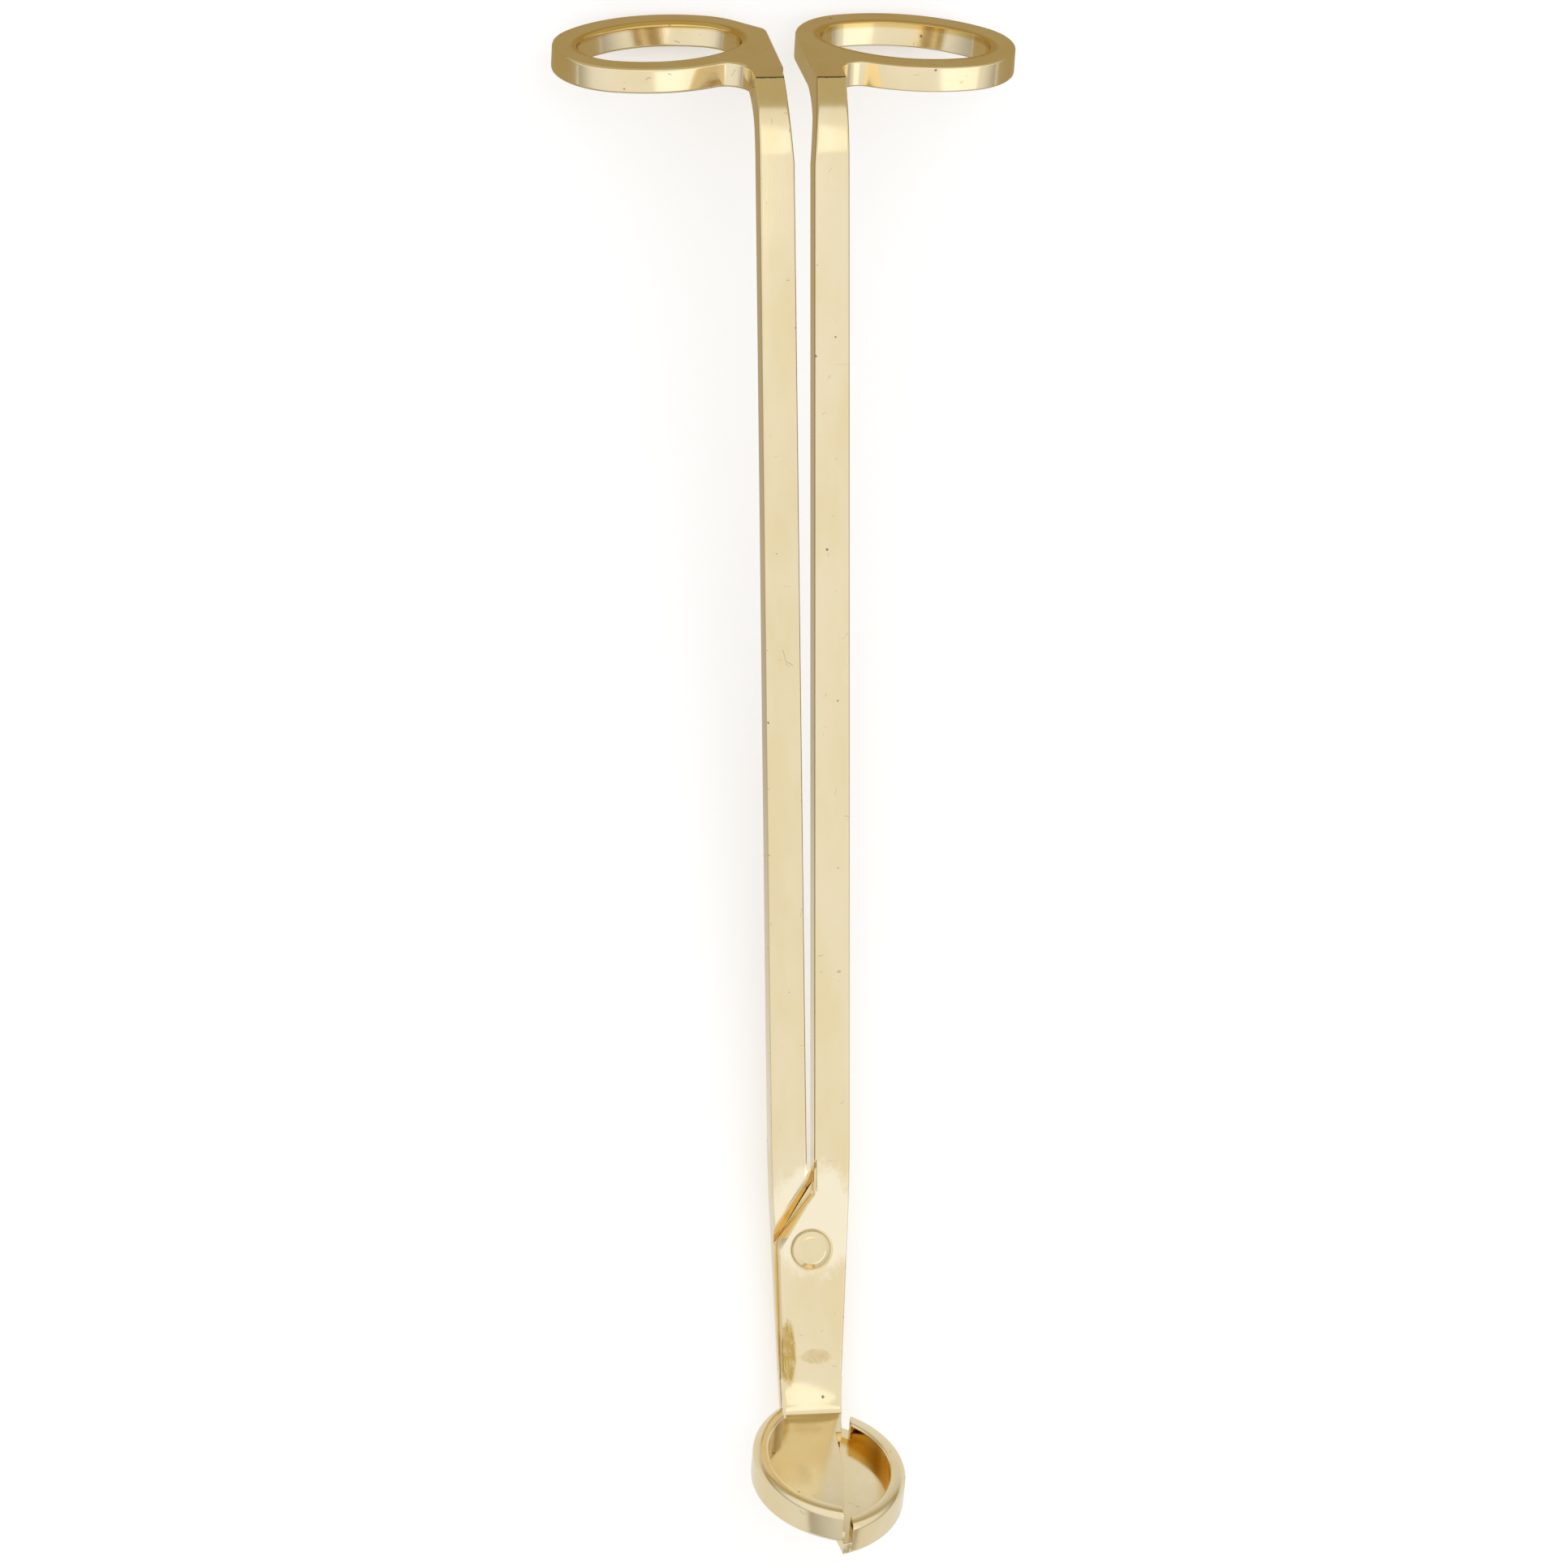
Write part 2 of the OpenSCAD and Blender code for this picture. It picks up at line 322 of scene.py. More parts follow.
def bar_outline(bm, fold_y):
    first = start_outline(bm, NECK_HALF, fold_y)
    tip = line_through(
        bm, first,
        (HEAD_R + 0.42, -1.0),
        (GAP_PIVOT + SHANK_WIDE - 0.06, 6),
        (GAP_PIVOT + SHANK_WIDE + 0.08, 12),
        (RING_SIDE, TOP_Y),
        (RING_SIDE, SHANK_LONG + SPARE),
        (RING_EDGE, SHANK_LONG + SPARE),
        (RING_EDGE, SHANK_LONG),
        (GAP_RING, TOP_Y),
        (GAP_PIVOT, CROTCH_Y),
        (HEAD_R * math.cos(shoulder), HEAD_R * math.sin(shoulder)),
    )
    tip = arc_about(bm, tip, (0, 0), 180 - SHOULDER, step=5)
    tip = line_through(bm, tip, (-NECK_HALF, fold_y))
    bm.edges.new((tip, first))


def curve_top(bm):
    for count in range(1, 14):
        slice_at(bm, (0, TOP_Y + count, 0), (0, 1, 0))
    for vert in bm.verts:
        along = vert.co.y - TOP_Y
        if along > 0:
            vert.co.z -= TOP_R - math.sqrt(TOP_R ** 2 - along ** 2)


def make_bar(fold_y):
    bm = bmesh.new()
    bar_outline(bm, fold_y)
    fill_slab(bm, -SHANK_THICK, 0)
    soften(bm, SOFT, wanted=lambda edge: middle(edge).y > fold_y + NEAR)
    curve_top(bm)
    ring_up = on_ring.to_3x3() @ Vector((0, 0, 1))
    cut = slice_at(bm, (0, *ring_point(0, 0)), ring_up, clear_outer=True)
    bmesh.ops.contextual_create(
        bm, geom=[item for item in cut["geom_cut"] if isinstance(item, bmesh.types.BMEdge)]
    )
    bmesh.ops.recalc_face_normals(bm, faces=bm.faces[:])
    return bm


# %% [markdown]
# The shoulder runs along a slanted line beside the rivet. A block carves away the half that is not
# this arm's, and a second, slanted prism carves the groove that the polisher leaves between the
# two. The helpers here make such blocks, rods and prisms.

# %% Carving blocks
def block(x0, x1, y0, y1, z0, z1):
    bm = bmesh.new()
    bmesh.ops.create_cube(bm, size=1)
    bmesh.ops.scale(bm, verts=bm.verts[:], vec=(x1 - x0, y1 - y0, z1 - z0))
    shift(bm, (x0 + x1) / 2, (y0 + y1) / 2, (z0 + z1) / 2)
    return bm


def rod(radius_low, radius_high, low, high):
    bm = bmesh.new()
    bmesh.ops.create_cone(
        bm, cap_ends=True, segments=96, radius1=radius_low, radius2=radius_high, depth=high - low,
    )
    shift(bm, 0, 0, (low + high) / 2)
    return bm


def side_prism(corners, low, high):
    bm = bmesh.new()
    first = start_outline(bm, *corners[0])
    tip = line_through(bm, first, *corners[1:])
    bm.edges.new((tip, first))
    return fill_slab(bm, low, high)


def lap_recess(low, high):
    return turn_into(block(-60, SHOULDER_R, -60, 60, low, high), turned(180 - SHOULDER, "Z"))


def groove(corners, low, high, direction):
    return turn_into(side_prism(corners, low, high), turned(direction, "Z") @ stand)


# %% [markdown]
# ## The bend
# The neck is bent forward into the tray floor. Outside, the metal runs round the bend in an arc as
# wide as the plate is thick. Inside, the upper arm has a soft hollow that catches the light in a
# bright band, so a sliver with a concave arc is laid into the corner. The upper end of the hollow
# is curved, as a round wheel leaves it: the sliver is cut into strips, and the further a strip is
# from the middle, the more it is pulled in.

# %% The bend
def fold_at(face_z, floor_h):
    lean = math.radians(TRAY_LEAN)
    return (face_z - floor_h * math.sin(lean)) / math.cos(lean)


def make_bend(face_z, floor_h):
    fold, lap = fold_at(face_z, floor_h), 1.2
    y, z = tray_point(fold, floor_h)
    bm = bmesh.new()
    first = start_outline(bm, y, z)
    tip = line_through(bm, first, (y + lap, z), (y + lap, z - LAP_THICK), (y, z - LAP_THICK))
    tip = arc_about(bm, tip, (y, z), -(90 - TRAY_LEAN), step=7)
    tip = line_through(
        bm, tip, tray_point(fold + lap, floor_h - LAP_THICK), tray_point(fold + lap, floor_h)
    )
    bm.edges.new((tip, first))
    fill_slab(bm, -NECK_HALF + 0.01, NECK_HALF - 0.01)
    soften(bm, SOFT, wanted=lambda edge: (
        is_level(edge) and middle(edge).x < y + lap - NEAR and abs(middle(edge).z) > 3
    ))
    return turn_into(bm, across)


# %% The hollow
def make_hollow(reach, lift):
    turn = 2 * math.atan(lift / reach)
    radius = reach / math.sin(turn)
    upper, under, strip = -NECK_LONG + reach, -0.6, 0.62
    bm = bmesh.new()
    first = start_outline(bm, upper, 0)
    tip = arc_about(bm, first, (upper, radius), -math.degrees(turn), step=2)
    tip = line_through(
        bm, tip, tray_point(lift / math.cos(math.radians(TRAY_LEAN)) + 0.02, -0.02),
        tray_point(0.8, under), (-NECK_LONG, under), (upper, -0.5),
    )
    bm.edges.new((tip, first))
    fill_slab(bm, -NECK_HALF - 0.02, NECK_HALF - 0.06)
    soften(bm, 0.2, segments=2, wanted=lambda edge: (
        is_level(edge) and middle(edge).y > 0.06 and middle(edge).x > -NECK_LONG - 0.3
    ))
    turn_into(bm, across)
    for count in range(-5, 6):
        slice_at(bm, (count * strip, 0, 0), (1, 0, 0))
    for vert in bm.verts:
        along = vert.co.y + NECK_LONG
        if along > 0:
            vert.co.y -= along * 0.4 * (1 - math.sqrt(max(0, 1 - (vert.co.x / 3.45) ** 2)))
            vert.co.x *= 1 + 0.05 * along / NECK_HALF
    return bm


# %% [markdown]
# ## The tray floor
# Each floor is half of a leaf. The outside is an arc and the blade is a straight line from the
# neck to the tip, with a short tapering notch at its root.

# %% The tray floor
NOTCH_FROM, NOTCH_TO, NOTCH_DEEP = 4.7, 10.7, 0.66


def blade_x(s):
    return NECK_HALF * (1 - s / LEAF_LONG)


def make_floor(floor_h, fold_s):
    bm = bmesh.new()
    radius = LEAF_R - 0.03
    neck_s = LEAF_MID - math.sqrt(radius ** 2 - (NECK_HALF + LEAF_OFF) ** 2)
    tip_s = LEAF_MID + math.sqrt(radius ** 2 - LEAF_OFF ** 2)
    from_tip = math.degrees(math.atan2(tip_s - LEAF_MID, -LEAF_OFF))
    to_neck = math.degrees(math.atan2(neck_s - LEAF_MID, -NECK_HALF - LEAF_OFF)) % 360
    first = start_outline(bm, -NECK_HALF, fold_s)
    tip = line_through(
        bm, first, (NECK_HALF, fold_s), (NECK_HALF, 0.3), (blade_x(NOTCH_FROM), NOTCH_FROM),
        (blade_x(NOTCH_FROM) - NOTCH_DEEP, NOTCH_FROM), (blade_x(NOTCH_TO) + 0.02, NOTCH_TO),
        (0, tip_s),
    )
    tip = arc_about(bm, tip, (LEAF_OFF, LEAF_MID), to_neck - from_tip, step=3)
    bm.edges.new((tip, first))
    fill_slab(bm, floor_h - LAP_THICK, floor_h)
    soften(bm, 0.12, segments=2, wanted=lambda edge: (
        is_at(edge, floor_h) or is_at(edge, floor_h - LAP_THICK)
    ) and middle(edge).y > fold_s + NEAR)
    return turn_into(bm, on_tray)


# %% [markdown]
# ## The tray wall
# A wall stands round the outer edge of each half leaf and catches the cut wick. It follows the arc
# of the floor, so its section is drawn once, with a broad round shoulder outside and a fine one
# inside, and spun along it. An extruded arc with a bevel would do too, but the spin keeps the
# shoulder even. A prism rounds the start, beside the neck, and a block trims the end at the tip.

# %% The tray wall
def make_wall(floor_h, neck_clear, tip_clear):
    low, high = floor_h - LAP_THICK, floor_h + WALL_HIGH
    outer_r, inner_r = 0.7, 0.3
    bm = bmesh.new()
    first = start_outline(bm, WALL_R, low + 0.5)
    tip = line_through(bm, first, (LEAF_R - 0.5, low + 0.02), (LEAF_R - SOFT, low))
    tip = arc_about(bm, tip, (LEAF_R - SOFT, low + SOFT), 90, step=30)
    tip = line_through(bm, tip, (LEAF_R, high - outer_r))
    tip = arc_about(bm, tip, (LEAF_R - outer_r, high - outer_r), 90, step=15)
    tip = line_through(bm, tip, (WALL_R + inner_r, high))
    tip = arc_about(bm, tip, (WALL_R + inner_r, high - inner_r), 90, step=22)
    bm.edges.new((tip, first))
    bmesh.ops.remove_doubles(bm, verts=bm.verts[:], dist=0.002)
    bmesh.ops.contextual_create(bm, geom=bm.edges[:])
    bmesh.ops.transform(bm, matrix=turned(96, "Z") @ stand, verts=bm.verts[:])
    bmesh.ops.spin(
        bm, geom=everything(bm), cent=(0, 0, 0), axis=(0, 0, 1),
        angle=math.radians(168), steps=84, use_duplicate=False,
    )
    shift(bm, LEAF_OFF, LEAF_MID, 0)
    bmesh.ops.recalc_face_normals(bm, faces=bm.faces[:])
    x = -NECK_HALF - neck_clear
    rounded_start = side_prism([
        (20, -5), (20, LEAF_MID), (x, LEAF_MID), (x, 3.1), (x - 0.06, 2.76), (x - 0.24, 2.44),
        (x - 0.58, 2.16), (x - 1.2, 1.9), (x - 1.2, -5),
    ], -9, 9)
    combine(bm, [rounded_start, block(-tip_clear, 20, -5, 40, -9, 9)], "DIFFERENCE")
    soften(bm, 0.22, segments=2, degrees=50, wanted=lambda edge: middle(edge).z > floor_h + 0.2)
    return turn_into(bm, on_tray)


# %% [markdown]
# ## The finger ring
# The ring is a flat oval rim. Its outline is drawn from arcs: two tight ones round the ends and
# two wide ones along the sides. On its outer side it flows into the shank through a hollow fillet.
# The two rings differ on the inner side: the front arm's is round there, and the rear arm's runs
# straight up from the crease and turns a corner. The opening is a second, smaller oval.

# %% Arcs of the oval
END_R = OVAL_SHORT * 0.78
END_C = OVAL_LONG - END_R
SIDE_R = (END_C ** 2 + OVAL_SHORT ** 2 - END_R ** 2) / (2 * (OVAL_SHORT - END_R))
SIDE_C = SIDE_R - OVAL_SHORT
SIDE_TURN = math.degrees(math.atan2(END_C, SIDE_C))
END_TURN = 180 - 2 * SIDE_TURN
print("oval: end radius, mm:", round(END_R, 2), " side radius:", round(SIDE_R, 2))


def oval_spot(x, y):
    turn = math.radians(-OVAL_TURN)
    return (
        OVAL_X + x * math.cos(turn) - y * math.sin(turn),
        OVAL_V + x * math.sin(turn) + y * math.cos(turn),
    )


def draw_opening(bm):
    turn = math.radians(SIDE_TURN)
    tip = start_outline(bm, *oval_spot(-END_C - END_R * math.sin(turn), END_R * math.cos(turn)))
    for centre, degrees, step in (
        ((0, -SIDE_C), 2 * SIDE_TURN, 4), ((END_C, 0), END_TURN, 5),
        ((0, SIDE_C), 2 * SIDE_TURN, 4), ((-END_C, 0), END_TURN, 5),
    ):
        tip = arc_about(bm, tip, oval_spot(*centre), -degrees, step)


# %% The rim of the ring
FOOT_V = 2.6  # where the fillet meets the shank
CORNER_V = 15.9  # where the straight inner side turns its corner


def draw_rim(bm, rounded):
    centre_x, centre_v = oval_spot(0, SIDE_C)
    left_x, left_v = oval_spot(-END_C, 0)
    wide, end_wide = SIDE_R + RIM, END_R + RIM
    fillet = ((centre_x - RING_SIDE) ** 2 + (centre_v - FOOT_V) ** 2 - wide ** 2) / (
        2 * (centre_x - RING_SIDE) + 2 * wide
    )
    to_fillet = math.degrees(math.atan2(FOOT_V - centre_v, RING_SIDE + fillet - centre_x))
    first = start_outline(bm, RING_EDGE + 0.3, 0.3)
    tip = line_through(bm, first, (RING_EDGE, 1.3))
    join = 180
    if not rounded:
        tip = line_through(bm, tip, (RING_EDGE - 0.5, 3.8), (RING_EDGE - 0.62, CORNER_V))
        tip = arc_about(bm, tip, (RING_EDGE + 1.08, CORNER_V), -57, step=8)
        join = 128
    turn = math.radians(join)
    tip = line_through(
        bm, tip, (left_x + end_wide * math.cos(turn), left_v + end_wide * math.sin(turn))
    )
    from_end = -90 + SIDE_TURN - OVAL_TURN
    for centre, degrees, step in (
        ((left_x, left_v), join - 90 - SIDE_TURN + OVAL_TURN, 4),
        (oval_spot(0, -SIDE_C), 2 * SIDE_TURN, 3),
        (oval_spot(END_C, 0), END_TURN, 4),
        ((centre_x, centre_v), from_end - to_fillet, 3),
        ((RING_SIDE + fillet, FOOT_V), to_fillet, 8),
    ):
        tip = arc_about(bm, tip, centre, -degrees, step)
    tip = line_through(bm, tip, (RING_SIDE, 1.4), (RING_SIDE - 0.3, 0.3))
    bm.edges.new((tip, first))
    print("fillet beside the shank, mm:", round(fillet, 2))


# %% The finger ring
def in_opening(edge):
    turn = math.radians(OVAL_TURN)
    x, v = middle(edge).x - OVAL_X, middle(edge).y - OVAL_V
    x, v = x * math.cos(turn) - v * math.sin(turn), x * math.sin(turn) + v * math.cos(turn)
    return (x / (OVAL_LONG + RIM / 2)) ** 2 + (v / (OVAL_SHORT + RIM / 2)) ** 2 < 1


def make_ring(rounded):
    bm = bmesh.new()
    draw_rim(bm, rounded)
    draw_opening(bm)
    fill_slab(bm, -SHANK_THICK, 0)
    soften(bm, 0.65, segments=4, wanted=lambda edge: in_opening(edge) and is_at(edge, 0))
    soften(bm, 0.36, wanted=lambda edge: (
        middle(edge).y > 0.4
        and (not in_opening(edge) or middle(edge).z < -2)
        and (is_at(edge, 0) or is_at(edge, -SHANK_THICK))
    ))
    return turn_into(bm, on_ring)


# %% [markdown]
# ## The web behind the crease
# In front, ring and shank meet in a crease. Behind, the metal of the fold fills the corner with a
# smooth curve. A fillet could be bevelled into the united arm, but the bevel would have to cross
# the side of the ring, so a web is drawn in the side view instead. Its back is a curve that leaves
# the shank and lands on the ring plate, pulled towards the corner between them.

# %% The web
WEB_START, WEB_END, WEB_STEPS = 3, 7, 8


def make_web():
    bm = bmesh.new()
    behind = math.sqrt(TOP_R ** 2 - WEB_START ** 2) - TOP_R - SHANK_THICK
    start = Vector((TOP_Y + WEB_START, behind))
    pull = Vector(ring_point(0.5, -SHANK_THICK))
    end = Vector(ring_point(WEB_END, -SHANK_THICK))
    first = tip = start_outline(bm, start.x, start.y)
    for count in range(1, WEB_STEPS + 1):
        part = count / WEB_STEPS
        spot = (1 - part) ** 2 * start + 2 * part * (1 - part) * pull + part ** 2 * end
        tip = line_through(bm, tip, spot)
    tip = line_through(
        bm, tip, ring_point(WEB_END, -SHANK_THICK + 0.8), ring_point(1, -SHANK_THICK + 1.2),
        (TOP_Y + WEB_START, start.y + 0.8),
    )
    bm.edges.new((tip, first))
    fill_slab(bm, 0, RING_SIDE - 0.06)
    turn_into(bm, across)
    for vert in bm.verts:
        if vert.co.x < 1:
            part = min(1, max(0, (vert.co.y - TOP_Y) / TOP_LONG))
            vert.co.x = GAP_RING + 0.75 * part + 0.06
    return soften(bm, 0.3, segments=2, wanted=lambda edge: (
        abs(edge.verts[0].co.x - edge.verts[1].co.x) < 1
    ))


# %% [markdown]
# ## Putting an arm together
# The shells are united into one closed mesh, and a finished piece is laid down, shaded smooth with
# sharp edges kept, and given weighted normals, so its flat faces reflect like flat mirrors. It then
# rides on its body and stands for its CAD node.

# %% Finish a piece
def finish_piece(bm, name, node, body):
    print(name, "open edges:", open_edges(bm), " volume, mm3:", round(abs(bm.calc_volume()), 1))
    bmesh.ops.transform(bm, matrix=lay_down, verts=bm.verts[:])
    piece = as_object(bm, name)
    mesh = piece.data
    bm.free()
    mesh.shade_smooth()
    mesh.set_sharp_from_angle(angle=math.radians(32))
    steady = piece.modifiers.new("steady", "WEIGHTED_NORMAL")
    steady.mode, steady.keep_sharp, steady.weight = "FACE_AREA", True, 50
    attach(piece, body)
    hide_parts(node)
    print(name, "faces:", len(mesh.polygons))
    return piece


# %% [markdown]
# Each arm is carved in its own way. The front arm loses the rear half of its lap, and gets the
# slanted face of the groove, a small chamfer on the inner edge of its shank just above the crotch,
# and a shallow seat for the rivet's head. The rear arm first gains a filler in its crotch, then
# loses the front half of its lap, and gets the other face of the groove and a countersink behind.
# Both have a hole for the rivet.

# %% What is carved away
def front_cuts():
    near, far, deep = HEAD_R - 0.797, HEAD_R + 1, -0.85
    return [
        lap_recess(-20, -LAP_THICK),
        groove([(near, 0.05), (HEAD_R + 0.047, deep), (far, deep), (far, 1), (near, 1)],
               -4, 6.4, SHOULDER),
        turn_into(side_prism([(0.2, -0.6), (0.2, 0.2), (0.92, 0.2)], -10.6, -7.2), stand),
        rod(HOLE_R, HOLE_R, -9, 9),
        rod(RIVET_HEAD_R + 0.15, RIVET_HEAD_R + 0.15, -0.3, 9),
    ]


def rear_cuts(face_z):
    near, far, deep = SHOULDER_R - 1, SHOULDER_R + 1.4, -1.25
    return [
        lap_recess(face_z, 20),
        groove([(near, deep), (SHOULDER_R - 0.1, deep), (far, 0.1), (far, 1), (near, 1)],
               -8.6, 4, 180 - SHOULDER),
        rod(HOLE_R, HOLE_R, -9, 9),
        rod(RIVET_R + 0.75, HOLE_R, -SHANK_THICK, -SHANK_THICK + SINK_DEEP),
    ]


# %% One arm
def make_arm(face_z, floor_h, neck_clear, tip_clear, front):
    fold = fold_at(face_z, floor_h)
    bm = make_bar(tray_point(fold, floor_h)[0])
    if front:
        combine(bm, front_cuts(), "DIFFERENCE")
    else:
        filler = [(1.2, 5.6), (1.2, 10.4), (0.45, 10.1), (-0.33, 9.2), (-0.33, 5.9)]
        combine(bm, [side_prism(filler, -SHANK_THICK + 0.02, -0.02)], "UNION")
        combine(bm, rear_cuts(face_z), "DIFFERENCE")
    shells = {
        "ring": make_ring(front), "web": make_web(), "bend": make_bend(face_z, floor_h),
        "floor": make_floor(floor_h, fold), "wall": make_wall(floor_h, neck_clear, tip_clear),
    }
    if front:
        shells["hollow"] = make_hollow(5.2, 0.9)
    for name, shell in shells.items():
        print("  ", name, "open edges:", open_edges(shell), "mm3:", round(shell.calc_volume(), 1))
    return combine(bm, list(shells.values()), "UNION")


# %% [markdown]
# The two arms are near mirror images. The front one lies on top at the rivet and carries the left
# half of the tray. The rear one is drawn the same way, mirrored, with its faces turned round again
# because a mirror turns them inside out. It lies below and carries the right half.

# %% The two arms
front_arm = finish_piece(
    make_arm(0, 0, 0.85, 0.3, front=True), "front_arm_plated", "front_arm", "front"
)
REAR_FLOOR = -LAP_THICK - BLADE_GAP
rear_shape = make_arm(-LAP_THICK - LAP_GAP, REAR_FLOOR, 0.5, 1, front=False)
bmesh.ops.scale(rear_shape, verts=rear_shape.verts[:], vec=(-1, 1, 1))
bmesh.ops.reverse_faces(rear_shape, faces=rear_shape.faces[:])
rear_arm = finish_piece(rear_shape, "rear_arm_plated", "rear_arm", "rear")

# %% [markdown]
# ## The rivet
# The rivet is turned on a lathe and then set with a press: a low, nearly flat head with a rounded
# step in front, a straight shaft, and a tail that spreads into the countersink behind. A lathe is
# what the spin operator copies, so half of its section is drawn and spun once round.

# %% The rivet
def make_rivet():
    bm = bmesh.new()
    head, dome_r, seat, back = RIVET_HEAD_R - 0.07, 60, -0.25, -SHANK_THICK
    tip = start_outline(bm, 0, RIVET_HEAD_HIGH)
    tip = arc_about(bm, tip, (0, RIVET_HEAD_HIGH - dome_r), -1.35, step=0.3)
    tip = arc_about(bm, tip, (tip.co.x - 0.01, tip.co.y - 0.7), -26, step=4)
    tip = line_through(bm, tip, (head - 0.24, 0.22))
    tip = arc_about(bm, tip, (head - 0.33, 0.0), -54, step=9)
    line_through(
        bm, tip, (head - 0.05, 0.05), (head, -0.03), (head, seat), (RIVET_R, seat),
        (RIVET_R, back + SINK_DEEP), (RIVET_R + 0.66, back + 0.04), (RIVET_R + 0.6, back),
        (0, back),
    )
    bmesh.ops.transform(bm, matrix=stand, verts=bm.verts[:])
    bmesh.ops.spin(
        bm, geom=bm.verts[:] + bm.edges[:], cent=(0, 0, 0), axis=(0, 0, 1),
        angle=math.radians(360), steps=96, use_merge=True,
    )
    bmesh.ops.remove_doubles(bm, verts=bm.verts[:], dist=0.001)
    bmesh.ops.recalc_face_normals(bm, faces=bm.faces[:])
    return bm


rivet = finish_piece(make_rivet(), "rivet_plated", "rivet", "rear")

# %% [markdown]
# ## The plating
# The arms are polished, then plated in a pale gold. A mirror finish like this is mostly
# reflection, so its character lies in small faults: the fine lines that the polishing belt leaves
# along the bar, slow waves in the sheet, sparse pits and dark specks, and hairline scratches from
# handling. Each fault is a shader node group that reads Object coordinates in metres, so every
# part can use it with its own values. Named sockets make a group read like a small tool with
# labelled knobs: every group here has a Vector, its own knobs and one output.

# %% Helper for groups
def new_group(name, output="Mask", **knobs):
    group = bpy.data.node_groups.new(name, "ShaderNodeTree")
    for label, value in {"Vector": None, **knobs}.items():
        socket = group.interface.new_socket(
            label.replace("_", " "), in_out="INPUT",
            socket_type="NodeSocketVector" if value is None else "NodeSocketFloat",
        )
        if value is not None:
            socket.default_value = value
    group.interface.new_socket(output, in_out="OUTPUT", socket_type="NodeSocketFloat")
    print("group", name, "has knobs", list(knobs), "and gives", output)
    start, end = group.nodes.new("NodeGroupInput"), group.nodes.new("NodeGroupOutput")
    return group, start.outputs, end.inputs[output]


# %% Helpers for number nodes
def give(tree, value, socket):
    if isinstance(value, bpy.types.NodeSocket):
        tree.links.new(value, socket)
    else:
        socket.default_value = value


def math_node(tree, how, first, second=None, clamp=False):
    node = tree.nodes.new("ShaderNodeMath")
    node.operation, node.use_clamp = how, clamp
    give(tree, first, node.inputs[0])
    if second is not None:
        give(tree, second, node.inputs[1])
    return node.outputs[0]


def times(tree, first, second, clamp=False):
    return math_node(tree, "MULTIPLY", first, second, clamp)


def plus(tree, first, second, clamp=False):
    return math_node(tree, "ADD", first, second, clamp)


def minus(tree, first, second):
    return math_node(tree, "SUBTRACT", first, second)


def sway(tree, noise, amount):
    return times(tree, minus(tree, noise, 0.5), amount)


def sum_of_squares(tree, first, second):
    return plus(tree, times(tree, first, first), times(tree, second, second))


def fade(tree, value, low, high, from_high=False):
    node = tree.nodes.new("ShaderNodeMapRange")
    node.interpolation_type = "SMOOTHSTEP"
    tree.links.new(value, node.inputs["Value"])
    node.inputs["From Min"].default_value, node.inputs["From Max"].default_value = low, high
    node.inputs["To Min"].default_value = 1.0 if from_high else 0.0
    node.inputs["To Max"].default_value = 0.0 if from_high else 1.0
    return node.outputs["Result"]


# %% Helpers for vector and noise nodes
def split(tree, vector):
    node = tree.nodes.new("ShaderNodeSeparateXYZ")
    tree.links.new(vector, node.inputs[0])
    return node.outputs


def vector_node(tree, how, first, second=None):
    node = tree.nodes.new("ShaderNodeVectorMath")
    node.operation = how
    give(tree, first, node.inputs[0])
    if second is not None:
        give(tree, second, node.inputs[1])
    return node.outputs["Value" if how in ("DOT_PRODUCT", "LENGTH") else "Vector"]


def stretch(tree, vector, scale, turn=(0, 0, 0)):
    node = tree.nodes.new("ShaderNodeMapping")
    tree.links.new(vector, node.inputs["Vector"])
    node.inputs["Scale"].default_value = scale
    node.inputs["Rotation"].default_value = turn
    return node.outputs["Vector"]


def noise_node(tree, vector, scale, detail, rough, warp=0.0):
    node = tree.nodes.new("ShaderNodeTexNoise")
    tree.links.new(vector, node.inputs["Vector"])
    for label, value in (
        ("Scale", scale), ("Detail", detail), ("Roughness", rough), ("Distortion", warp),
    ):
        node.inputs[label].default_value = value
    return node.outputs["Fac"]


# %% [markdown]
# Polishing lines run along the bar: noise is squeezed across the tool and stretched along it. The
# slow waves are large soft noise, which makes the reflections in a flat face bend a little.

# %% Group: polishing lines and slow waves
def build_polish_lines():
    group, knob, result = new_group("polish_lines", "Height", Lines=0.3, Waves=1.0)
    place = knob["Vector"]
    lines = noise_node(group, stretch(group, place, (9000, 260, 5200)), 1.0, 3, 0.6)
    waves = noise_node(group, stretch(group, place, (120, 55, 120)), 1.0, 1, 0.4)
    lines, waves = times(group, lines, knob["Lines"]), times(group, waves, knob["Waves"])
    group.links.new(plus(group, lines, waves), result)
    return group


polish_lines = build_polish_lines()

# %% [markdown]
# Pits and specks are rare dots of many sizes. A Voronoi texture gives every cell a random colour,
# and only the few cells above a threshold keep their dot. Noise makes the edge of a dot ragged.

